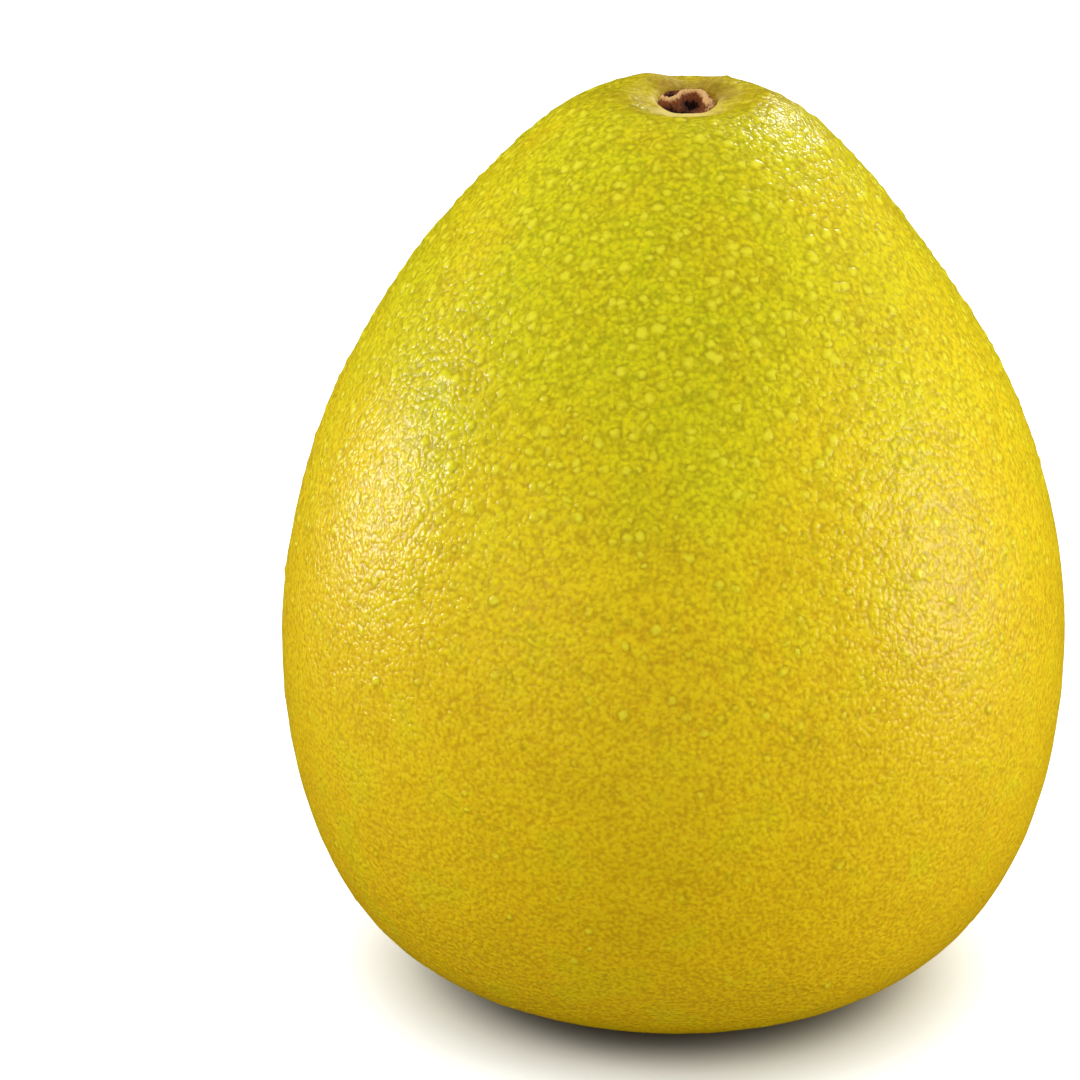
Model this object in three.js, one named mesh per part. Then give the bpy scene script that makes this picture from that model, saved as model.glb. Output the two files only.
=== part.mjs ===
// A whole pomelo, standing on its blossom end as it would on a table. The fruit is one solid: a body that
// tapers to a blunt neck, with a shallow dimple and a seat at the stem end, and a flat spot round the scar at
// the blossom end. The dried stem button sits in the seat: it is what stays of the calyx and the torn stalk.
// Millimetres, +Z up. The origin is on the table, on the axis of the fruit. -Y is the front.
import * as THREE from "three";

// Body
const WIDTH = 150;
const BELT_HEIGHT = 67; // where the fruit is widest
const CROWN_RISE = 117; // from the belt to the tip that the sides point at
const NECK_TAPER = 0.849; // 0.5 is an ellipse; more is more conical
const BASE_TAPER = 0.245; // under 0.5 is blunter, with a flat underside
const TIP_CUT = 10.8; // how far the blunt top lies under that tip
const TIP_CUT_SPREAD = 13.7;

// Stem end
const DIMPLE_DEPTH = 3;
const DIMPLE_SPREAD = 5.5;
const STEM_END_LEAN = 0.08; // the stem end faces a little to the front
const STEM_END_SPREAD = 26;
const STEM_END_SHIFT = 1.7; // and lies a little off the axis, towards +X
const STEM_END_SHIFT_SPREAD = 16;
const DIMPLE_LEAN = 0.18; // the dimple faces further to the front
const DIMPLE_LEAN_AXIS = 4; // the line in Y that this lean leaves where it is
const DIMPLE_LEAN_RADII = [6.5, 16]; // where the lean starts to fade and where it ends
const LIP_RADIUS = 6;
const SEAT_RADIUS = 5.6;
const SEAT_DEPTH = 3; // from the lip down to the floor of the seat

// Blossom end
const FLAT_SPOT_RADIUS = 16;
const BLOSSOM_SCAR_RADIUS = 6;
const BLOSSOM_SCAR_DEPTH = 1.2;

// Stem button
const BUTTON_GAP = 0.3; // all round, where it meets the seat
const BUTTON_RADIUS = SEAT_RADIUS - BUTTON_GAP;
const BUTTON_THICKNESS = 2.2;
const RIDGE_HEIGHT = 0.9; // of the torn wood over the rest of the button
const RIDGE_WIDTH = 0.6;
// Where the ridge of torn wood runs, seen from above: from the left, round the back, to the right.
const RIDGE_PATH = [
  new THREE.Vector3(-4.7, 0.2),
  new THREE.Vector3(-3.4, -0.8),
  new THREE.Vector3(-2.2, 0.1),
  new THREE.Vector3(-1.2, 2),
  new THREE.Vector3(0.2, 3.4),
  new THREE.Vector3(1.9, 3.4),
  new THREE.Vector3(3, 2.4),
  new THREE.Vector3(3.4, 0.6),
  new THREE.Vector3(3.2, -1),
];
// The hollows that the dried pith left beside it.
const HOLLOWS = [
  { x: 0.6, y: -0.8, halfWidth: 1.6, halfLength: 2.2, depth: 1.1 },
  { x: -3.4, y: -2.6, halfWidth: 1.2, halfLength: 1.1, depth: 0.7 },
  { x: -1, y: -3.9, halfWidth: 1.9, halfLength: 0.9, depth: 0.7 },
  { x: -2.9, y: 2.6, halfWidth: 1, halfLength: 1.4, depth: 0.8 },
];

// Resolution
const RIND_SEGMENTS = 84;
const BUTTON_SEGMENTS = 64;

// What makes the body uneven. An azimuth is in degrees, from +X towards +Y.
// Each lobe swells the body round its axis by a share of its radius.
const LOBES = [
  { count: 2, share: 0.004, azimuth: 80 },
  { count: 3, share: 0.006, azimuth: -30 },
  { count: 5, share: 0.002, azimuth: 60 },
];
// Each swell moves the skin outwards, or with a negative rise inwards, round one place.
const SWELLS = [
  { azimuth: 0, height: 165, rise: 0.5, spread: 8 },
  { azimuth: 0, height: 140, rise: -0.7, spread: 16 },
  { azimuth: 0, height: 75, rise: -0.3, spread: 30 },
  { azimuth: 180, height: 140, rise: 0.7, spread: 16 },
  { azimuth: 180, height: 115, rise: 0.5, spread: 13 },
  { azimuth: -65, height: 120, rise: -0.8, spread: 30 },
  { azimuth: -100, height: 50, rise: 0.8, spread: 32 },
  { azimuth: 75, height: 60, rise: -0.7, spread: 34 },
  { azimuth: 110, height: 130, rise: 0.9, spread: 26 },
];
// The crest round the dimple: its five knuckles, and the stretches of it that stand higher or dip, each at a
// radius of its own.
const CREST_RADIUS = 10;
const CREST_SPREAD = 5;
const KNUCKLES = { count: 5, rise: 0.3, azimuth: 130 };
const STRETCHES = [
  { azimuth: 135, rise: 0.25, width: 40, radius: 10 },
  { azimuth: 80, rise: -1.3, width: 26, radius: 10 },
  { azimuth: 15, rise: -0.5, width: 18, radius: 10 },
  { azimuth: -90, rise: -1.6, width: 42, radius: 12 },
];

const RADIUS = WIDTH / 2;
const radians = THREE.MathUtils.degToRad;
const bell = (distance, spread) => Math.exp(-((distance / spread) ** 2));

// Height of the upper half at a radius: a conical dome, cut blunt, with the dimple in its top.
function crownHeight(radius) {
  const dome = CROWN_RISE * Math.sqrt(1 - (radius / RADIUS) ** (1 / NECK_TAPER));
  const cut = TIP_CUT * bell(radius, TIP_CUT_SPREAD);
  return BELT_HEIGHT + dome - cut - DIMPLE_DEPTH * bell(radius, DIMPLE_SPREAD);
}

// Height of the lower half at a radius, before the flat spot takes its share off.
function bowlHeight(radius) {
  return BELT_HEIGHT * (1 - Math.sqrt(1 - (radius / RADIUS) ** (1 / BASE_TAPER)));
}

const SEAT_FLOOR = crownHeight(LIP_RADIUS) - SEAT_DEPTH;

// The rind's outline, from the axis at the blossom end to the axis at the stem end.
function rindOutline() {
  const points = [];
  const scarRings = 4;
  for (let i = 0; i <= scarRings; i++) {
    const radius = (BLOSSOM_SCAR_RADIUS * i) / scarRings;
    const fade = 0.5 + 0.5 * Math.cos((Math.PI * i) / scarRings);
    points.push(new THREE.Vector2(radius, BLOSSOM_SCAR_DEPTH * fade));
  }
  points.push(new THREE.Vector2(FLAT_SPOT_RADIUS, 0));
  const resting = bowlHeight(FLAT_SPOT_RADIUS);
  points.push(new THREE.Vector2(24, bowlHeight(24) - resting));
  // both halves are stepped by angle from the belt, where the sides are steep
  for (let angle = -80; angle < 0; angle += 4) {
    const radius = RADIUS * Math.cos(radians(angle)) ** (2 * BASE_TAPER);
    points.push(new THREE.Vector2(radius, BELT_HEIGHT * (1 + Math.sin(radians(angle))) - resting));
  }
  for (let angle = 0; angle < 62; angle += 3.5) {
    const radius = RADIUS * Math.cos(radians(angle)) ** (2 * NECK_TAPER);
    points.push(new THREE.Vector2(radius, crownHeight(radius) - resting));
  }
  for (const radius of [18.5, 16.5, 14.5, 12.8, 11.3, 10, 8.9, 8, 7, LIP_RADIUS]) {
    points.push(new THREE.Vector2(radius, crownHeight(radius) - resting));
  }
  points.push(new THREE.Vector2(SEAT_RADIUS + 0.1, SEAT_FLOOR + SEAT_DEPTH - 0.5 - resting));
  points.push(new THREE.Vector2(SEAT_RADIUS, SEAT_FLOOR + 0.2 - resting));
  points.push(new THREE.Vector2(SEAT_RADIUS - 0.2, SEAT_FLOOR - resting));
  points.push(new THREE.Vector2(SEAT_RADIUS / 2, SEAT_FLOOR - resting));
  points.push(new THREE.Vector2(0, SEAT_FLOOR - resting));
  return points;
}

// How far the crest round the dimple is raised at a place.
function crestRise(azimuth, radius) {
  let rise = KNUCKLES.rise * Math.cos(KNUCKLES.count * (azimuth - radians(KNUCKLES.azimuth)));
  rise *= bell(radius - CREST_RADIUS, CREST_SPREAD);
  for (const stretch of STRETCHES) {
    const away = azimuth - radians(stretch.azimuth);
    const turn = Math.atan2(Math.sin(away), Math.cos(away));
    rise += stretch.rise * bell(turn, radians(stretch.width)) * bell(radius - stretch.radius, CREST_SPREAD);
  }
  return rise;
}

// Radius of the round body at a height.
function radiusAt(height) {
  const rise = Math.max(0, (height - BELT_HEIGHT) / CROWN_RISE); // the places below the belt lie close to it
  return RADIUS * (1 - rise ** 2) ** NECK_TAPER;
}

// Moves one point of the round body to where it lies on the uneven one.
function unevenPoint(point) {
  const radius = Math.hypot(point.x, point.y);
  const azimuth = Math.atan2(point.y, point.x);
  let share = 1;
  for (const lobe of LOBES) {
    share += lobe.share * Math.cos(lobe.count * (azimuth - radians(lobe.azimuth)));
  }
  let swell = 0;
  for (const { azimuth: turn, height, rise, spread } of SWELLS) {
    const place = new THREE.Vector3(radiusAt(height), 0, height);
    place.applyAxisAngle(new THREE.Vector3(0, 0, 1), radians(turn));
    swell += rise * bell(point.distanceTo(place), spread);
  }
  swell *= Math.min(1, point.z / BELT_HEIGHT) * Math.min(1, radius / CREST_RADIUS); // none at either end
  const grown = share + swell / Math.max(radius, 1);
  let rise = crestRise(azimuth, radius);
  const aside = STEM_END_SHIFT * bell(radius, STEM_END_SHIFT_SPREAD);
  rise += STEM_END_LEAN * point.y * bell(radius, STEM_END_SPREAD);
  const held = 1 - THREE.MathUtils.smoothstep(radius, ...DIMPLE_LEAN_RADII);
  rise += DIMPLE_LEAN * (point.y - DIMPLE_LEAN_AXIS) * held;
  const upper = THREE.MathUtils.smoothstep(point.z, BELT_HEIGHT, BELT_HEIGHT + CROWN_RISE / 2);
  return new THREE.Vector3(point.x * grown + aside * upper, point.y * grown, point.z + rise * upper);
}

const ridge = new THREE.CatmullRomCurve3(RIDGE_PATH).getPoints(48);

// Height of the stem button's torn top over its edge.
function buttonRelief(x, y) {
  const place = new THREE.Vector3(x, y, 0);
  const fromRidge = Math.min(...ridge.map((point) => point.distanceTo(place)));
  let height = RIDGE_HEIGHT * bell(fromRidge, RIDGE_WIDTH);
  for (const hollow of HOLLOWS) {
    const away = Math.hypot((x - hollow.x) / hollow.halfWidth, (y - hollow.y) / hollow.halfLength);
    height -= hollow.depth * bell(away, 1) * THREE.MathUtils.smoothstep(fromRidge, 0, RIDGE_WIDTH);
  }
  return height;
}

// Turns a lathe outline about +Z and moves each of its points by a rule.
function turned(outline, segments, place) {
  const geometry = new THREE.LatheGeometry(outline, segments);
  geometry.rotateX(Math.PI / 2); // the lathe's own axis is +Y
  const positions = geometry.getAttribute("position");
  for (let i = 0; i < positions.count; i++) {
    const moved = place(new THREE.Vector3().fromBufferAttribute(positions, i));
    positions.setXYZ(i, moved.x, moved.y, moved.z);
  }
  geometry.computeVertexNormals();
  return geometry;
}

function rind() {
  const geometry = turned(rindOutline(), RIND_SEGMENTS, unevenPoint);
  const skin = new THREE.MeshStandardMaterial({ color: 0xd8c414, roughness: 0.45, metalness: 0 });
  const mesh = new THREE.Mesh(geometry, skin);
  mesh.name = "fruit";
  return mesh;
}

function stemButton() {
  const bottom = SEAT_FLOOR - bowlHeight(FLAT_SPOT_RADIUS) + BUTTON_GAP;
  const top = bottom + BUTTON_THICKNESS;
  const outline = [
    new THREE.Vector2(0, bottom),
    new THREE.Vector2(BUTTON_RADIUS - 0.3, bottom),
    new THREE.Vector2(BUTTON_RADIUS, bottom + 0.3),
    new THREE.Vector2(BUTTON_RADIUS, top - 0.2),
  ];
  const rings = 14;
  for (let i = 0; i <= rings; i++) {
    outline.push(new THREE.Vector2((BUTTON_RADIUS - 0.2) * (1 - i / rings), top));
  }
  const geometry = turned(outline, BUTTON_SEGMENTS, (point) => {
    if (point.z > top - 0.1) point.z += buttonRelief(point.x, point.y);
    return unevenPoint(point);
  });
  const wood = new THREE.MeshStandardMaterial({ color: 0x7a5228, roughness: 0.85, metalness: 0 });
  const mesh = new THREE.Mesh(geometry, wood);
  mesh.name = "stem_button";
  return mesh;
}

const pomelo = new THREE.Group();
pomelo.name = "pomelo";
pomelo.add(rind(), stemButton());

export default pomelo;
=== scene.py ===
"""A whole pomelo on a white table: green-yellow at its neck, yellow on its sides, ochre at its base.

The rind and the stem button are fine meshes on the same form as the solids that they stand for.
-Y is the front.
"""

import math

import bmesh
import bpy
import numpy as np
from mathutils import Euler, Matrix, Vector, noise


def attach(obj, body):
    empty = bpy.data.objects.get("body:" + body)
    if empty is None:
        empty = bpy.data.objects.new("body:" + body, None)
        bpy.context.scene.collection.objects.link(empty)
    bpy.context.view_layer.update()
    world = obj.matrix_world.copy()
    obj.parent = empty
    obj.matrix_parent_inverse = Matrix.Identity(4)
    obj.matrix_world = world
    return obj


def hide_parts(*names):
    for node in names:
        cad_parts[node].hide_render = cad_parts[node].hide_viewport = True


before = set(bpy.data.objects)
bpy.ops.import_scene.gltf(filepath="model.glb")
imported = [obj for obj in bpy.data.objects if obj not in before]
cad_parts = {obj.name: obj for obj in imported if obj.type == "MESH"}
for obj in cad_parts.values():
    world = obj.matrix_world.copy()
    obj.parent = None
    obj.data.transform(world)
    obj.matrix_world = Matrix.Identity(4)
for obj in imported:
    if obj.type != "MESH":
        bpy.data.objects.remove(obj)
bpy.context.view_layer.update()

MM = 0.001

# Body, in metres
RADIUS = 75 * MM
BELT_HEIGHT = 67 * MM  # where the fruit is widest
CROWN_RISE = 117 * MM  # from the belt to the tip that the sides point at
NECK_TAPER = 0.849
BASE_TAPER = 0.245
TIP_CUT = 10.8 * MM
TIP_CUT_SPREAD = 13.7 * MM

# Stem end
DIMPLE_DEPTH = 3 * MM
DIMPLE_SPREAD = 5.5 * MM
STEM_END_LEAN = 0.08
STEM_END_SPREAD = 26 * MM
STEM_END_SHIFT = 1.7 * MM
STEM_END_SHIFT_SPREAD = 16 * MM
DIMPLE_LEAN = 0.18
DIMPLE_LEAN_AXIS = 4 * MM
DIMPLE_LEAN_RADII = (6.5 * MM, 16 * MM)
LIP_RADIUS = 6 * MM
SEAT_RADIUS = 5.6 * MM
SEAT_DEPTH = 3 * MM

# Blossom end
FLAT_SPOT_RADIUS = 16 * MM
BLOSSOM_SCAR_RADIUS = 6 * MM
BLOSSOM_SCAR_DEPTH = 1.2 * MM

# Stem button
BUTTON_GAP = 0.3 * MM
BUTTON_RADIUS = SEAT_RADIUS - BUTTON_GAP
BUTTON_THICKNESS = 2.2 * MM
RIDGE_HEIGHT = 0.9  # mm
RIDGE_WIDTH = 0.6  # mm
# The torn ridge seen from above, in mm: from the left, round the back, to the right.
RIDGE_PATH = (
    (-4.7, 0.2), (-3.4, -0.8), (-2.2, 0.1), (-1.2, 2), (0.2, 3.4), (1.9, 3.4), (3, 2.4), (3.4, 0.6), (3.2, -1)
)
# The hollows in the button: middle x and y, half width, half length and depth, in mm.
HOLLOWS = (
    (0.6, -0.8, 1.6, 2.2, 1.1),
    (-3.4, -2.6, 1.2, 1.1, 0.7),
    (-1, -3.9, 1.9, 0.9, 0.7),
    (-2.9, 2.6, 1, 1.4, 0.8),
)

# Lobes round the body: how many, share of the radius, azimuth in degrees.
LOBES = ((2, 0.004, 80), (3, 0.006, -30), (5, 0.002, 60))
# Swells and hollows of the body: azimuth in degrees, then height, rise and spread in mm.
SWELLS = (
    (0, 165, 0.5, 8),
    (0, 140, -0.7, 16),
    (0, 75, -0.3, 30),
    (180, 140, 0.7, 16),
    (180, 115, 0.5, 13),
    (-65, 120, -0.8, 30),
    (-100, 50, 0.8, 32),
    (75, 60, -0.7, 34),
    (110, 130, 0.9, 26),
)
# The crest round the dimple has knuckles: how many, rise in mm, azimuth of the first in degrees.
CREST_RADIUS = 10 * MM
CREST_SPREAD = 5 * MM
KNUCKLES = (5, 0.3, 130)
# It is higher or lower along stretches: azimuth in degrees, rise in mm, width in degrees, radius in mm.
STRETCHES = ((135, 0.25, 40, 10), (80, -1.3, 26, 10), (15, -0.5, 18, 10), (-90, -1.6, 42, 12))


def bell(distance, spread):
    """1 in the middle, fading to 0 over the spread."""
    return np.exp(-((distance / spread) ** 2))


def smooth(value, start, end):
    """0 at the start, 1 at the end, with no corners."""
    share = np.clip((value - start) / (end - start), 0, 1)
    return share * share * (3 - 2 * share)


# The form of the fruit

def crown_height(radius):
    """Height of the upper half at a radius: a conical dome, cut blunt, with the dimple in its top."""
    share = np.clip(1 - (radius / RADIUS) ** (1 / NECK_TAPER), 0, 1)
    cut = TIP_CUT * bell(radius, TIP_CUT_SPREAD) + DIMPLE_DEPTH * bell(radius, DIMPLE_SPREAD)
    return BELT_HEIGHT + CROWN_RISE * np.sqrt(share) - cut


def bowl_height(radius):
    """Height of the lower half at a radius, before the flat spot takes its share off."""
    share = np.clip(1 - (radius / RADIUS) ** (1 / BASE_TAPER), 0, 1)
    return BELT_HEIGHT * (1 - np.sqrt(share))


RESTING = bowl_height(FLAT_SPOT_RADIUS)
SEAT_FLOOR = crown_height(LIP_RADIUS) - SEAT_DEPTH - RESTING
SEAT_SLOPE = 1.2 * MM
SEAT_FILL = 0.6 * MM
CROWN_TOP_RADIUS = 20 * MM  # inside it the outline goes by radius, outside it by angle
OUTLINE_STEP = 0.5  # degrees


def rind_outline():
    """Radii and heights from the axis at the stem end to the axis at the blossom end.

    The seat's floor is a little higher and narrower than the solid's, so that the button sinks into its wall
    and leaves no gap.
    """
    seat = np.linspace(0, SEAT_RADIUS - SEAT_SLOPE, 8)
    crown = np.linspace(LIP_RADIUS, CROWN_TOP_RADIUS, 60)
    upper = RADIUS * np.cos(np.radians(np.arange(61, 0, -OUTLINE_STEP))) ** (2 * NECK_TAPER)
    angles = np.radians(np.arange(0, -83, -OUTLINE_STEP))
    lower = RADIUS * np.cos(angles) ** (2 * BASE_TAPER)
    lower_height = BELT_HEIGHT * (1 + np.sin(angles)) - RESTING
    under = np.linspace(lower[-1] - 1 * MM, FLAT_SPOT_RADIUS, 10)
    scar = np.linspace(BLOSSOM_SCAR_RADIUS, 0, 16)
    scar_height = BLOSSOM_SCAR_DEPTH * (0.5 + 0.5 * np.cos(np.pi * scar / BLOSSOM_SCAR_RADIUS))
    upper = upper[upper > crown[-1]]
    radii = np.concatenate([seat, crown, upper, lower, under, scar])
    heights = np.concatenate([
        np.full(len(seat), SEAT_FLOOR + SEAT_FILL),
        crown_height(crown) - RESTING,
        crown_height(upper) - RESTING,
        lower_height,
        bowl_height(under) - RESTING,
        scar_height,
    ])
    return radii, heights


def crest_rise(azimuth, radius):
    """How far the crest round the dimple is raised at a place."""
    count, high, start = KNUCKLES
    rise = high * np.cos(count * (azimuth - math.radians(start))) * bell(radius - CREST_RADIUS, CREST_SPREAD)
    for middle, height, width, reach in STRETCHES:
        away = azimuth - math.radians(middle)
        turn = np.arctan2(np.sin(away), np.cos(away))
        rise = rise + height * bell(turn, math.radians(width)) * bell(radius - reach * MM, CREST_SPREAD)
    return rise * MM


def uneven(places):
    """Moves points of the round body to where they lie on the uneven one."""
    x, y, z = places.T
    radius = np.hypot(x, y)
    azimuth = np.arctan2(y, x)
    share = np.ones(len(places))
    for count, size, start in LOBES:
        share += size * np.cos(count * (azimuth - math.radians(start)))
    swell = np.zeros(len(places))
    for turn, height, rise, spread in SWELLS:
        climb = max(0, (height * MM - BELT_HEIGHT) / CROWN_RISE)
        out = RADIUS * (1 - climb ** 2) ** NECK_TAPER
        middle = (out * math.cos(math.radians(turn)), out * math.sin(math.radians(turn)), height * MM)
        swell += rise * MM * bell(np.linalg.norm(places - middle, axis=1), spread * MM)
    swell *= np.minimum(1, z / BELT_HEIGHT) * np.minimum(1, radius / CREST_RADIUS)
    grown = share + swell / np.maximum(radius, MM)
    rise = crest_rise(azimuth, radius)
    rise += STEM_END_LEAN * y * bell(radius, STEM_END_SPREAD)
    rise += DIMPLE_LEAN * (y - DIMPLE_LEAN_AXIS) * (1 - smooth(radius, *DIMPLE_LEAN_RADII))
    aside = STEM_END_SHIFT * bell(radius, STEM_END_SHIFT_SPREAD)
    upper = smooth(z, BELT_HEIGHT, BELT_HEIGHT + CROWN_RISE / 2)
    return np.stack([x * grown + aside * upper, y * grown, z + rise * upper], axis=1)


# Making meshes

def place_vertices(mesh, rule):
    """Moves every vertex of a mesh to where the rule puts it."""
    places = np.empty(3 * len(mesh.vertices))
    mesh.vertices.foreach_get("co", places)
    mesh.vertices.foreach_set("co", rule(places.reshape(-1, 3)).ravel())
    mesh.update()


def new_piece(name, bm, node, material):
    """A smooth-shaded piece that stands for a node of the frame."""
    mesh = bpy.data.meshes.new(name)
    bmesh.ops.recalc_face_normals(bm, faces=bm.faces)
    bm.to_mesh(mesh)
    bm.free()
    mesh.shade_smooth()
    piece = bpy.data.objects.new(name, mesh)
    bpy.context.scene.collection.objects.link(piece)
    piece.data.materials.append(material)
    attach(piece, "root")
    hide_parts(node)
    return piece


# Node trees

def wire(tree, node, inputs):
    """Sets or links inputs of a node, each given by its name or number."""
    for key, value in inputs.items():
        if isinstance(value, bpy.types.NodeSocket):
            tree.links.new(value, node.inputs[key])
        else:
            node.inputs[key].default_value = value
    return node


def maths(tree, operation, *terms):
    node = tree.nodes.new("ShaderNodeMath")
    node.operation = operation
    return wire(tree, node, dict(enumerate(terms))).outputs[0]


def vectors(tree, operation, first, second):
    node = tree.nodes.new("ShaderNodeVectorMath")
    node.operation = operation
    wire(tree, node, {0: first, ("Scale" if operation == "SCALE" else 1): second})
    return node.outputs["Value" if operation in ("LENGTH", "DOT_PRODUCT") else "Vector"]


def fade(tree, value, start, end, low=0.0, high=1.0):
    """Goes smoothly from low at the start to high at the end."""
    node = tree.nodes.new("ShaderNodeMapRange")
    node.interpolation_type = "SMOOTHSTEP"
    wire(tree, node, {"Value": value, "From Min": start, "From Max": end, "To Min": low, "To Max": high})
    return node.outputs["Result"]


def mottle(tree, place, size, detail=2.0, roughness=0.5):
    """Soft noise with features of a size in the units of place."""
    node = tree.nodes.new("ShaderNodeTexNoise")
    return wire(tree, node, {"Vector": place, "Scale": 1 / size, "Detail": detail, "Roughness": roughness})


def cells(tree, place, size, randomness=1.0):
    """Scattered cells: distance from the middle in the units of place, and two random shares of each cell."""
    node = tree.nodes.new("ShaderNodeTexVoronoi")
    wire(tree, node, {"Vector": place, "Scale": 1 / size, "Randomness": randomness})
    parts = wire(tree, tree.nodes.new("ShaderNodeSeparateXYZ"), {0: node.outputs["Color"]})
    return maths(tree, "MULTIPLY", node.outputs["Distance"], size), parts.outputs["X"], parts.outputs["Y"]


def tint(tree, amount, below, above, blend="MIX"):
    """Lays one colour over another by an amount."""
    node = tree.nodes.new("ShaderNodeMix")
    node.data_type = "RGBA"
    node.blend_type = blend
    wire(tree, node, {0: amount, 6: below, 7: above})
    return node.outputs[2]


def colour(red, green, blue):
    """A colour as it shows on a screen, 0 to 255, as the shader wants it."""
    shares = []
    for value in (red, green, blue):
        share = value / 255
        shares.append(share / 12.92 if share <= 0.04045 else ((share + 0.055) / 1.055) ** 2.4)
    return (*shares, 1.0)


# The rind's relief, in mm

BEND_SIZE, BEND_REACH = 2.2, 1.6  # its spots aren't quite round
BLISTER_CELL = 2.7
BLISTER_RADIUS, BLISTER_GROWTH = 0.65, 0.75  # of the smallest, and how much more the largest have
BLISTER_HEIGHT = 0.28
CROWD_SIZE = 14  # of the crowds that blisters stand in
GLAND_LAYERS = ((1.6, (0, 0, 0)), (1.2, (31, 47, 59)))  # size, and how far the layer is moved aside
GLAND_HEIGHT = 0.15
PEBBLE_SIZE = 0.75
PEBBLE_HEIGHT = 0.12
GRAIN_SIZE = 0.5
GRAIN_HEIGHT = 0.02
LUMP_SIZE = 7.0
LUMP_HEIGHT = 0.35


def rind_relief(tree, place):
    """The rind's relief at a place in mm: the place's height, and shares of a blister, of the painted shade
    round its foot, and of a gland.

    Both the mesh and the material read it, so that colour, gloss and form stay together.
    """
    height = wire(tree, tree.nodes.new("ShaderNodeSeparateXYZ"), {0: place}).outputs["Z"]
    from_axis = vectors(tree, "LENGTH", vectors(tree, "MULTIPLY", place, (1, 1, 0)), (0, 0, 0))
    bend = mottle(tree, place, BEND_SIZE).outputs["Color"]
    bent = vectors(tree, "ADD", place, vectors(tree, "SCALE", bend, BEND_REACH))
    # blisters: swollen oil glands, many at the neck and few at the base
    from_middle, chance, growth = cells(tree, bent, BLISTER_CELL)
    reach = maths(tree, "MULTIPLY_ADD", growth, BLISTER_GROWTH, BLISTER_RADIUS)
    reach = maths(tree, "MULTIPLY", reach, fade(tree, height, 70, 150, 0.75, 1.0))
    share = maths(tree, "DIVIDE", from_middle, reach)
    crowd = mottle(tree, place, CROWD_SIZE).outputs[0]
    crowd = maths(tree, "ADD", fade(tree, height, 52, 152, 0.0, 1.0), crowd)
    kept = fade(tree, maths(tree, "SUBTRACT", maths(tree, "SUBTRACT", crowd, 0.4), chance), -0.08, 0.16)
    kept = maths(tree, "MULTIPLY", kept, fade(tree, from_axis, 7, 13))
    blister = maths(tree, "MULTIPLY", fade(tree, share, 1.0, 0.3), kept)
    # painted shade: a dark ring round each blister's foot, where the skin meets the dome
    foot = maths(tree, "MULTIPLY", fade(tree, share, 0.75, 1.05), fade(tree, share, 1.6, 1.1))
    foot = maths(tree, "MULTIPLY", foot, kept)
    # the small oil glands in between are raised too, in two layers, one between the glands of the other
    gland = None
    for size, aside in GLAND_LAYERS:
        to_gland, growth, _ = cells(tree, vectors(tree, "ADD", bent, aside), size, 0.9)
        share = maths(tree, "MULTIPLY_ADD", growth, 0.5, 0.5)
        share = maths(tree, "MULTIPLY", fade(tree, to_gland, 0.7 * size, 0.05 * size), share)
        gland = maths(tree, "MAXIMUM", gland, share) if gland else share
    gland = maths(tree, "MULTIPLY", gland, maths(tree, "SUBTRACT", 1.0, blister))
    return height, blister, foot, gland


def relief_modifier(piece):
    """Raises the blisters and soft lumps on the mesh itself, but not where the fruit rests."""
    group = bpy.data.node_groups.new("rind relief", "GeometryNodeTree")
    group.interface.new_socket("Geometry", in_out="INPUT", socket_type="NodeSocketGeometry")
    group.interface.new_socket("Geometry", in_out="OUTPUT", socket_type="NodeSocketGeometry")
    inside = group.nodes.new("NodeGroupInput")
    outside = group.nodes.new("NodeGroupOutput")
    position = group.nodes.new("GeometryNodeInputPosition")
    place = vectors(group, "SCALE", position.outputs[0], 1 / MM)
    height, blister, _, _ = rind_relief(group, place)
    lump = maths(group, "SUBTRACT", mottle(group, place, LUMP_SIZE, 1.0).outputs[0], 0.5)
    rise = maths(group, "MULTIPLY_ADD", blister, BLISTER_HEIGHT, maths(group, "MULTIPLY", lump, LUMP_HEIGHT))
    rise = maths(group, "MULTIPLY", rise, fade(group, height, 0.6, 6.0))
    normal = group.nodes.new("GeometryNodeInputNormal")
    offset = vectors(group, "SCALE", normal.outputs[0], maths(group, "MULTIPLY", rise, MM))
    moved = group.nodes.new("GeometryNodeSetPosition")
    wire(group, moved, {"Geometry": inside.outputs[0], "Offset": offset})
    group.links.new(moved.outputs[0], outside.inputs[0])
    modifier = piece.modifiers.new("relief", "NODES")
    modifier.node_group = group
    settled = bpy.data.meshes.new_from_object(piece.evaluated_get(bpy.context.evaluated_depsgraph_get()))
    piece.modifiers.clear()
    coarse = piece.data
    settled.name = coarse.name + "_settled"
    piece.data = settled
    bpy.data.meshes.remove(coarse)


# Materials

RIPE_BASE = colour(242, 186, 6)
RIPE_SIDES = colour(242, 197, 6)
RIPE_NECK = colour(244, 219, 8)
UNRIPE_GREEN = colour(197, 201, 2)
GREENER_SIDE = (-0.27, -0.96, 0)  # the direction from the axis in which it stayed green
OCHRE_PATCH = colour(222, 180, 6)
LEMON_PATCH = colour(214, 212, 8)
PEBBLE_TOP_AND_PAINTED_LIGHT = colour(255, 232, 6)
LOW_SKIN_AND_PAINTED_SHADE = colour(174, 138, 0)
GLAND_YELLOW = colour(255, 236, 4)
BLISTER_FOOT_PAINTED_SHADE = colour(164, 146, 0)
BLISTER_YELLOW = colour(250, 240, 46)
DIMPLE_PAINTED_SHADE = colour(222, 210, 190)
DIMPLE_LINES = colour(236, 214, 72)
DIMPLE_BACK_PAINTED_SHADE = colour(186, 158, 130)
RIM_CREAM = colour(244, 220, 128)
DULL_SKIN = colour(202, 168, 60)
DARK_CORK = colour(96, 62, 28)
PALE_CORK = colour(186, 148, 92)
WOOD_HOLLOW_DARK_AND_SHADE = colour(30, 6, 2)
WOOD_BROWN = colour(132, 66, 24)
WOOD_PALE = colour(238, 190, 124)


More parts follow.
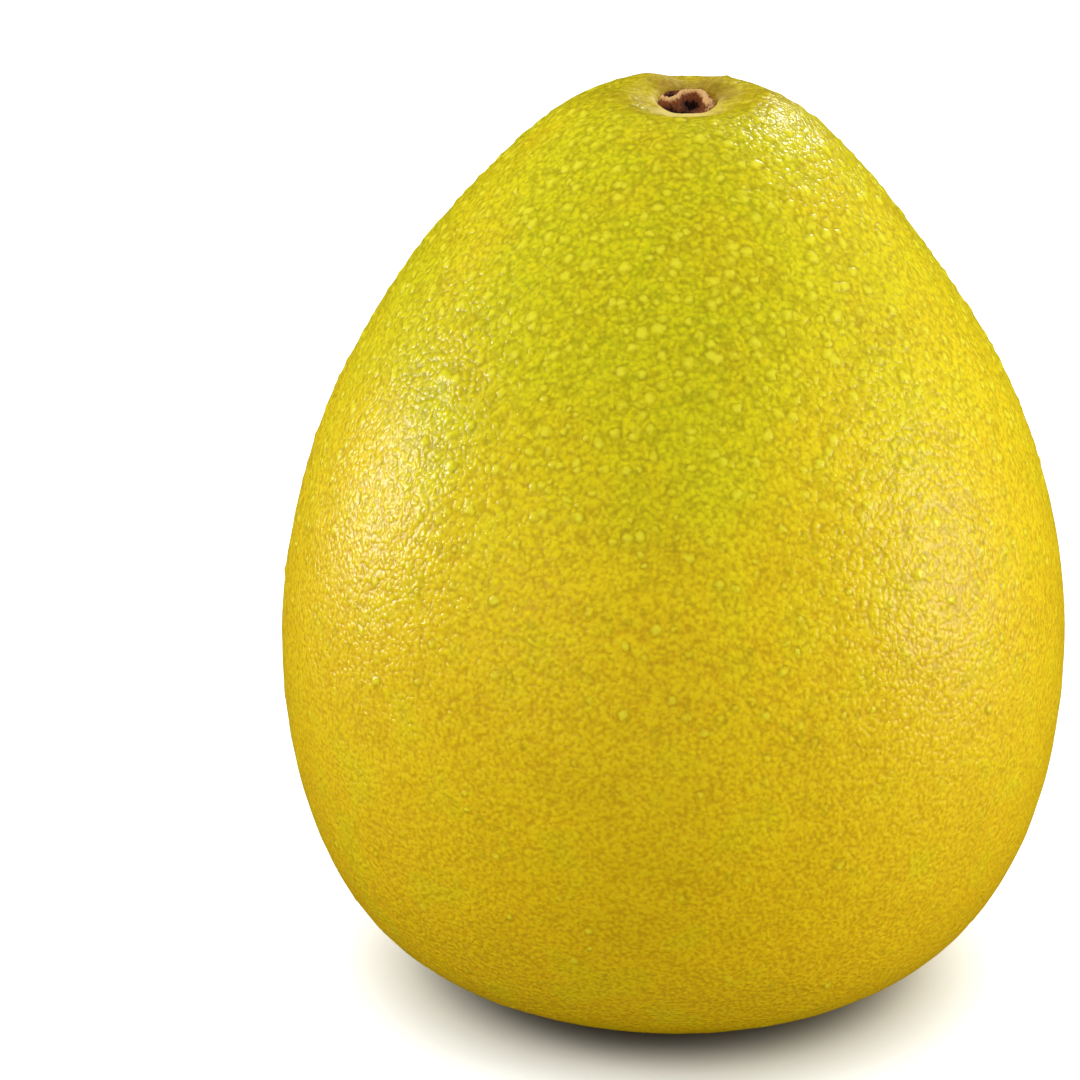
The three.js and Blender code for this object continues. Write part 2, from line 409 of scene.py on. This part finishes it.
def new_material(name):
    """A material, its node tree, its shader, and the place on the piece in mm."""
    material = bpy.data.materials.new(name)
    material.use_nodes = True
    tree = material.node_tree
    coordinates = tree.nodes.new("ShaderNodeTexCoord")
    place = vectors(tree, "SCALE", coordinates.outputs["Object"], 1 / MM)
    return material, tree, tree.nodes["Principled BSDF"], place


def stem_end_tints(tree, place, height, skin):
    """Round the stem button: lines that run towards it, painted shade in olive and brown over the dimple and
    its back wall, and a broken cream rim.

    Gives the skin with them, and how dull it is.
    """
    offset = vectors(tree, "SUBTRACT", place, (STEM_END_SHIFT / MM, 0, 0))
    flat = vectors(tree, "MULTIPLY", offset, (1, 1, 0))
    away = vectors(tree, "LENGTH", flat, (0, 0, 0))
    on_top = fade(tree, height, 150, 160)
    direction = vectors(tree, "NORMALIZE", flat, (0, 0, 0))
    lines = mottle(tree, vectors(tree, "SCALE", direction, 9.0), 1.0).outputs[0]
    # painted shade: an olive darkening multiplied over the skin round the dimple, strongest near the button
    olive = maths(tree, "MULTIPLY", fade(tree, away, 25, 9, 0.0, 0.7), on_top)
    skin = tint(tree, olive, skin, DIMPLE_PAINTED_SHADE, "MULTIPLY")
    amount = maths(tree, "MULTIPLY", fade(tree, lines, 0.45, 0.65, 0.0, 0.5), fade(tree, away, 15, 6.5))
    skin = tint(tree, maths(tree, "MULTIPLY", amount, on_top), skin, DIMPLE_LINES)
    parts = wire(tree, tree.nodes.new("ShaderNodeSeparateXYZ"), {0: flat}).outputs
    behind = parts["Y"]
    # painted shade: a brown darkening multiplied over the dimple's back and right wall, close round the
    # button
    side = maths(tree, "MULTIPLY_ADD", parts["X"], 0.5, behind)
    amount = maths(tree, "MULTIPLY", fade(tree, side, -2, 4, 0.0, 0.8), fade(tree, away, 11.5, 6))
    skin = tint(tree, maths(tree, "MULTIPLY", amount, on_top), skin, DIMPLE_BACK_PAINTED_SHADE, "MULTIPLY")
    ragged = maths(tree, "MULTIPLY_ADD", mottle(tree, place, 1.6).outputs[0], 2.4, away)
    to_edge = maths(tree, "SUBTRACT", ragged, fade(tree, behind, -3, -7, 0.0, 2.2))
    rim = maths(tree, "MULTIPLY", fade(tree, ragged, 6.4, 7.0), fade(tree, to_edge, 8.7, 7.0, 0.0, 0.75))
    rim = maths(tree, "MULTIPLY", rim, fade(tree, behind, 4, -1, 0.12, 1.0))
    rim = maths(tree, "MULTIPLY", rim, fade(tree, parts["X"], 1, 5, 1.0, 0.3))
    skin = tint(tree, maths(tree, "MULTIPLY", rim, on_top), skin, RIM_CREAM)
    return skin, maths(tree, "MULTIPLY", fade(tree, away, 12, 7), on_top)


def blossom_end_tints(tree, place, height, skin):
    """The corky scar at the blossom end, and the duller skin round it."""
    from_axis = vectors(tree, "LENGTH", vectors(tree, "MULTIPLY", place, (1, 1, 0)), (0, 0, 0))
    beneath = fade(tree, height, 4.0, 1.6)
    crust = mottle(tree, place, 1.3, 3.0).outputs[0]
    dull = maths(tree, "MULTIPLY", beneath, fade(tree, from_axis, 22, 8, 0.0, 0.4))
    skin = tint(tree, dull, skin, DULL_SKIN)
    ragged = maths(tree, "MULTIPLY_ADD", crust, 3.0, from_axis)
    cork = tint(tree, fade(tree, crust, 0.35, 0.7), DARK_CORK, PALE_CORK)
    return tint(tree, maths(tree, "MULTIPLY", beneath, fade(tree, ragged, 7.8, 6.6, 0.0, 0.95)), skin, cork)


def rind_material():
    material, tree, shader, place = new_material("pomelo rind")
    height, blister, foot, gland = rind_relief(tree, place)
    broad = mottle(tree, place, 34, 1.0).outputs[0]
    patch = mottle(tree, place, 11, 2.0).outputs[0]
    flat = vectors(tree, "MULTIPLY", place, (1, 1, 0))
    shaded = vectors(tree, "DOT_PRODUCT", vectors(tree, "NORMALIZE", flat, (0, 0, 0)), GREENER_SIDE)

    # ripening: ochre at the base, yellow on the sides, green-yellow at the neck
    skin = tint(tree, fade(tree, height, -10, 70), RIPE_BASE, RIPE_SIDES)
    skin = tint(tree, fade(tree, height, 78, 148), skin, RIPE_NECK)
    greenness = maths(tree, "MULTIPLY_ADD", broad, 1.2, fade(tree, height, 60, 175, -1.0, 0.05))
    shaded = maths(tree, "MULTIPLY", fade(tree, shaded, 0.7, 1.0, 0.0, 0.6), fade(tree, height, 72, 132))
    greenness = maths(tree, "ADD", greenness, shaded)
    skin = tint(tree, fade(tree, greenness, 0.0, 0.95), skin, UNRIPE_GREEN)
    skin = tint(tree, fade(tree, patch, 0.42, 0.72, 0.0, 0.4), skin, OCHRE_PATCH)
    skin = tint(tree, fade(tree, patch, 0.5, 0.28, 0.0, 0.35), skin, LEMON_PATCH)

    # pebbles and glands are paler than the skin between them, and blisters palest; the paler pebble tops and
    # the darker low skin follow the relief, partly the rind's own tone and partly painted light and shade
    pebble = mottle(tree, place, PEBBLE_SIZE, 0.0).outputs[0]
    skin = tint(tree, fade(tree, pebble, 0.5, 0.64, 0.0, 0.3), skin, PEBBLE_TOP_AND_PAINTED_LIGHT)
    skin = tint(tree, fade(tree, pebble, 0.5, 0.36, 0.0, 0.28), skin, LOW_SKIN_AND_PAINTED_SHADE)
    # partly painted shade: the low skin away from the glands is darker
    between = maths(tree, "MULTIPLY", fade(tree, gland, 0.4, 0.0), fade(tree, height, 20, 120, 0.04, 0.21))
    skin = tint(tree, between, skin, LOW_SKIN_AND_PAINTED_SHADE)
    pale = maths(tree, "MULTIPLY", gland, fade(tree, height, 20, 120, 0.2, 0.66))
    skin = tint(tree, pale, skin, GLAND_YELLOW)
    # painted shade round the blisters' feet
    skin = tint(tree, maths(tree, "MULTIPLY", foot, 0.3), skin, BLISTER_FOOT_PAINTED_SHADE)
    skin = tint(tree, maths(tree, "MULTIPLY", blister, 0.8), skin, BLISTER_YELLOW)
    skin, dull = stem_end_tints(tree, place, height, skin)
    skin = blossom_end_tints(tree, place, height, skin)
    tree.links.new(skin, shader.inputs["Base Color"])

    grain = mottle(tree, place, GRAIN_SIZE, 1.0).outputs[0]
    rough = maths(tree, "MULTIPLY_ADD", grain, 0.16, 0.22)
    tree.links.new(maths(tree, "MULTIPLY_ADD", dull, 0.45, rough), shader.inputs["Roughness"])
    # the mesh has the blisters' whole height already, but is too coarse for the steep foot of the small ones
    relief = maths(tree, "MULTIPLY", gland, GLAND_HEIGHT)
    relief = maths(tree, "MULTIPLY_ADD", blister, 0.6 * BLISTER_HEIGHT, relief)
    relief = maths(tree, "MULTIPLY_ADD", pebble, PEBBLE_HEIGHT, relief)
    relief = maths(tree, "MULTIPLY_ADD", grain, GRAIN_HEIGHT, relief)
    bump = tree.nodes.new("ShaderNodeBump")
    wire(tree, bump, {"Height": relief, "Distance": MM, "Strength": 1.0})
    tree.links.new(bump.outputs[0], shader.inputs["Normal"])
    shader.inputs["Specular IOR Level"].default_value = 0.2
    shader.inputs["Subsurface Weight"].default_value = 0.1
    shader.inputs["Subsurface Radius"].default_value = (1.0, 0.7, 0.1)
    shader.inputs["Subsurface Scale"].default_value = 1.5 * MM
    return material


def stem_material():
    material, tree, shader, place = new_material("dry stem wood")
    tone = tree.nodes.new("ShaderNodeAttribute")
    tone.attribute_name = "wood_height"
    level = tone.outputs["Fac"]
    speck = mottle(tree, place, 0.5, 3.0).outputs[0]
    fibre = mottle(tree, vectors(tree, "MULTIPLY", place, (2.6, 0.7, 1.0)), 1.0, 2.0).outputs[0]
    grain = maths(tree, "ADD", maths(tree, "SUBTRACT", speck, 0.5), maths(tree, "SUBTRACT", fibre, 0.5))
    across = wire(tree, tree.nodes.new("ShaderNodeSeparateXYZ"), {0: place}).outputs["X"]
    level = maths(tree, "ADD", level, fade(tree, across, 3.2, 5.6, 0.0, 0.4))
    level = maths(tree, "MULTIPLY_ADD", grain, 0.8, level)
    # darkest in the low hollows, partly the dry wood's own dark core and partly painted shade
    wood = tint(tree, fade(tree, level, -0.75, 0.05), WOOD_HOLLOW_DARK_AND_SHADE, WOOD_BROWN)
    wood = tint(tree, fade(tree, level, 0.15, 0.8), wood, WOOD_PALE)
    tree.links.new(wood, shader.inputs["Base Color"])
    tree.links.new(maths(tree, "MULTIPLY_ADD", speck, 0.3, 0.65), shader.inputs["Roughness"])
    shader.inputs["Specular IOR Level"].default_value = 0.25
    bump = tree.nodes.new("ShaderNodeBump")
    wire(tree, bump, {"Height": grain, "Distance": 0.25 * MM, "Strength": 1.0})
    tree.links.new(bump.outputs[0], shader.inputs["Normal"])
    return material


# Pieces

RIND_CUTS = 116
# Where the mesh is cut finer: how far from the axis, how many cuts, and 1 for the upper end or -1 below.
FINER_ENDS = ((11 * MM, 5, 1), (9 * MM, 2, -1))


def make_rind():
    """A cube cut fine and blown up to a ball, whose points go to the outline at their share of its length."""
    bm = bmesh.new()
    bmesh.ops.create_cube(bm, size=2)
    bmesh.ops.subdivide_edges(bm, edges=bm.edges, cuts=RIND_CUTS, use_grid_fill=True)
    for vertex in bm.verts:
        vertex.co = Vector([math.tan(side * math.pi / 4) for side in vertex.co]).normalized()
    radii, heights = rind_outline()
    run = np.concatenate([[0], np.cumsum(np.hypot(np.diff(radii), np.diff(heights)))])
    for reach, cuts, up in FINER_ENDS:
        slice_height = math.cos(math.pi * reach / run[-1])
        caps = [face for face in bm.faces if up * face.calc_center_median().z > slice_height]
        near = list(dict.fromkeys(edge for face in caps for edge in face.edges))
        bmesh.ops.subdivide_edges(bm, edges=near, cuts=cuts, use_grid_fill=True)
    rind = new_piece("rind", bm, "fruit", rind_material())

    def onto_fruit(places):
        ball = places / np.linalg.norm(places, axis=1)[:, None]
        along = np.arccos(np.clip(ball[:, 2], -1, 1)) / math.pi * run[-1]
        out = np.interp(along, run, radii)
        azimuth = np.arctan2(ball[:, 1], ball[:, 0])
        height = np.interp(along, run, heights)
        return uneven(np.stack([out * np.cos(azimuth), out * np.sin(azimuth), height], axis=1))

    place_vertices(rind.data, onto_fruit)
    relief_modifier(rind)
    return rind


def button_relief(x, y):
    """Height of the torn top over the button's flat top at a point, all in mm."""
    path = [Vector((a, b, 0)) for a, b in RIDGE_PATH]
    here = Vector((x, y, 0))
    nearest = math.inf
    for start, end in zip(path, path[1:]):
        share = max(0.0, min(1.0, (here - start).dot(end - start) / (end - start).length_squared))
        nearest = min(nearest, (here - start.lerp(end, share)).length)
    height = RIDGE_HEIGHT * math.exp(-((nearest / RIDGE_WIDTH) ** 2))
    beside = float(smooth(nearest, 0, RIDGE_WIDTH))
    for middle_x, middle_y, half_width, half_length, depth in HOLLOWS:
        away = math.hypot((x - middle_x) / half_width, (y - middle_y) / half_length)
        height -= depth * math.exp(-away * away) * beside
    return height


def make_stem_button():
    """A disc spun from its outline, with rounded edges, whose top is torn into ridge, hollows and fibres."""
    bottom = SEAT_FLOOR + BUTTON_GAP
    top = bottom + BUTTON_THICKNESS
    bm = bmesh.new()
    outline = [(0, bottom), (BUTTON_RADIUS - 0.3 * MM, bottom), (BUTTON_RADIUS, bottom + 0.3 * MM)]
    outline += [(BUTTON_RADIUS, top - 0.5 * MM), (BUTTON_RADIUS - 0.1 * MM, top - 0.2 * MM)]
    rings = 60
    outline += [((BUTTON_RADIUS - 0.25 * MM) * (1 - ring / rings), top) for ring in range(rings + 1)]
    verts = [bm.verts.new((radius, 0, height)) for radius, height in outline]
    edges = [bm.edges.new(pair) for pair in zip(verts, verts[1:])]
    bmesh.ops.spin(
        bm, geom=verts + edges, axis=(0, 0, 1), cent=(0, 0, 0), angle=2 * math.pi, steps=180, use_merge=True
    )
    bmesh.ops.remove_doubles(bm, verts=bm.verts, dist=0.001 * MM)
    button = new_piece("stem_button_wood", bm, "stem_button", stem_material())
    levels = np.zeros(len(button.data.vertices))

    def tear(places):
        torn = places.copy()
        for index, (x, y, z) in enumerate(places):
            if z > top - 0.1 * MM:
                spot = Vector((x / MM, y / MM, 0))
                fibres = noise.noise(Vector((spot.x * 3.2, spot.y * 0.7, 4)))
                ragged = noise.fractal(spot * 1.3, 0.6, 2.0, 4) + 0.5 * fibres
                level = button_relief(spot.x, spot.y) + 0.3 * ragged
                edge = math.hypot(x, y) / BUTTON_RADIUS
                torn[index, 2] += level * MM * (1 - float(smooth(edge, 0.85, 1.0)) * 0.7)
                levels[index] = level
        return uneven(torn)

    place_vertices(button.data, tear)
    tone = button.data.attributes.new("wood_height", "FLOAT", "POINT")
    tone.data.foreach_set("value", levels)
    return button


# Stage, lights and camera

CAMERA_TARGET = Vector((-25.3, 0, 85.6)) * MM
CAMERA_DISTANCE = 573.5 * MM
CAMERA_RISE = 18  # degrees above the horizon
TABLE_REACH = 6.0  # metres to each side
TABLE_DROP = 0.05 * MM
TABLE_PAINTED_SHADOW = (0.16, 0.13, 0.06, 1)
TABLE_WHITE = (0.88, 0.95, 1.0, 1)
UNDERLAY_RADIUS = 52 * MM
UNDERLAY_DROP = 0.1 * MM
UNDERLAY_BROWN = (0.1, 0.08, 0.02, 1)


def make_stage():
    """A white table, with a painted shadow that makes it darker under the fruit.

    Away from the fruit it glows with painted light, as under a lamp of its own, and throws no light back at
    it.
    """
    bm = bmesh.new()
    drop = Matrix.Translation((0, 0, -TABLE_DROP))
    bmesh.ops.create_grid(bm, x_segments=1, y_segments=1, size=TABLE_REACH, matrix=drop)
    mesh = bpy.data.meshes.new("table")
    bm.to_mesh(mesh)
    bm.free()
    table = bpy.data.objects.new("table", mesh)
    table.visible_diffuse = False
    table.visible_glossy = False
    bpy.context.scene.collection.objects.link(table)
    white, tree, shader, place = new_material("white table")
    shader.inputs["Roughness"].default_value = 0.7
    shader.inputs["Specular IOR Level"].default_value = 0.0
    shader.inputs["Emission Color"].default_value = (1, 1, 1, 1)
    away = vectors(tree, "LENGTH", place, (0, 0, 0))
    # painted shadow: the table darkens close to the fruit
    shade = tint(tree, fade(tree, away, 32, 54), TABLE_PAINTED_SHADOW, TABLE_WHITE)
    tree.links.new(shade, shader.inputs["Base Color"])
    # painted light: the table glows more the farther it is from the fruit
    tree.links.new(fade(tree, away, 41, 77, 0.0, 0.6), shader.inputs["Emission Strength"])
    mesh.materials.append(white)


def make_underlay():
    """A dark disc just under the table that keeps light from coming up through it where the fruit rests."""
    bm = bmesh.new()
    drop = Matrix.Translation((0, 0, -UNDERLAY_DROP))
    bmesh.ops.create_circle(bm, cap_ends=True, segments=64, radius=UNDERLAY_RADIUS, matrix=drop)
    mesh = bpy.data.meshes.new("underlay")
    bm.to_mesh(mesh)
    bm.free()
    disc = bpy.data.objects.new("underlay", mesh)
    bpy.context.scene.collection.objects.link(disc)
    dark, _, shader, _ = new_material("underlay")
    shader.inputs["Base Color"].default_value = UNDERLAY_BROWN
    shader.inputs["Specular IOR Level"].default_value = 0.0
    mesh.materials.append(dark)


def softbox(name, azimuth, rise, distance, width, height, power, only_shine=False):
    """A rectangular light that faces the fruit and gives either soft light or shine.

    Azimuth 0 is in front and 90 to the right, in degrees as the rise is. Distance and sizes are in metres.
    """
    turn, lift = math.radians(azimuth), math.radians(rise)
    away = Vector((math.sin(turn) * math.cos(lift), -math.cos(turn) * math.cos(lift), math.sin(lift)))
    light = bpy.data.lights.new(name, "AREA")
    light.shape = "RECTANGLE"
    light.size = width
    light.size_y = height
    light.energy = power
    lamp = bpy.data.objects.new(name, light)
    lamp.location = Vector((0, 0, BELT_HEIGHT)) + away * distance
    lamp.rotation_euler = away.to_track_quat("Z", "Y").to_euler()
    lamp.visible_diffuse = not only_shine
    lamp.visible_glossy = only_shine
    lamp.visible_camera = False
    bpy.context.scene.collection.objects.link(lamp)


def make_lights():
    softbox("left softbox", -92, 16, 1.0, 0.3, 0.5, 2.5)
    softbox("right softbox", 84, -2, 1.0, 0.3, 0.5, 3.5)
    softbox("left shine", -98, 12, 1.0, 0.16, 0.3, 6.0, True)
    softbox("window shine", -44, 10, 1.0, 0.08, 0.2, 0.45, True)
    softbox("right shine", 78, 9, 1.0, 0.28, 0.44, 4.6, True)
    softbox("top shine", 149, 37, 1.2, 0.08, 0.08, 3.3, True)
    world = bpy.context.scene.world or bpy.data.worlds.new("studio")
    bpy.context.scene.world = world
    world.use_nodes = True
    tree = world.node_tree
    # white walls all round, dimmer on the camera's side and brighter on the right, and less light from below
    direction = tree.nodes.new("ShaderNodeTexCoord").outputs["Generated"]
    parts = wire(tree, tree.nodes.new("ShaderNodeSeparateXYZ"), {0: direction}).outputs
    walls = fade(tree, parts["Y"], -0.9, 0.6, 0.71, 1.17)
    strength = maths(tree, "MULTIPLY", walls, fade(tree, parts["Z"], -0.95, -0.1, 0.3, 1.0))
    strength = maths(tree, "MULTIPLY", strength, fade(tree, parts["X"], 0.0, 1.0, 1.0, 1.34))
    # to the eye they are all white
    seen = tree.nodes.new("ShaderNodeLightPath").outputs["Is Camera Ray"]
    strength = maths(tree, "MAXIMUM", strength, maths(tree, "MULTIPLY", seen, 1.1))
    wire(tree, tree.nodes["Background"], {"Color": (1, 1, 1, 1), "Strength": strength})
    world.cycles_visibility.glossy = False


def make_camera():
    camera = bpy.data.cameras.new("camera")
    camera.lens = 100
    camera.sensor_width = 36
    lift = math.radians(CAMERA_RISE)
    view = bpy.data.objects.new("camera", camera)
    view.location = CAMERA_TARGET + Vector((0, -math.cos(lift), math.sin(lift))) * CAMERA_DISTANCE
    view.rotation_euler = Euler((math.pi / 2 - lift, 0, 0))
    bpy.context.scene.collection.objects.link(view)
    bpy.context.scene.camera = view


make_camera()
make_rind()
make_stem_button()
make_stage()
make_underlay()
make_lights()
bpy.context.scene.view_settings.view_transform = "Standard"
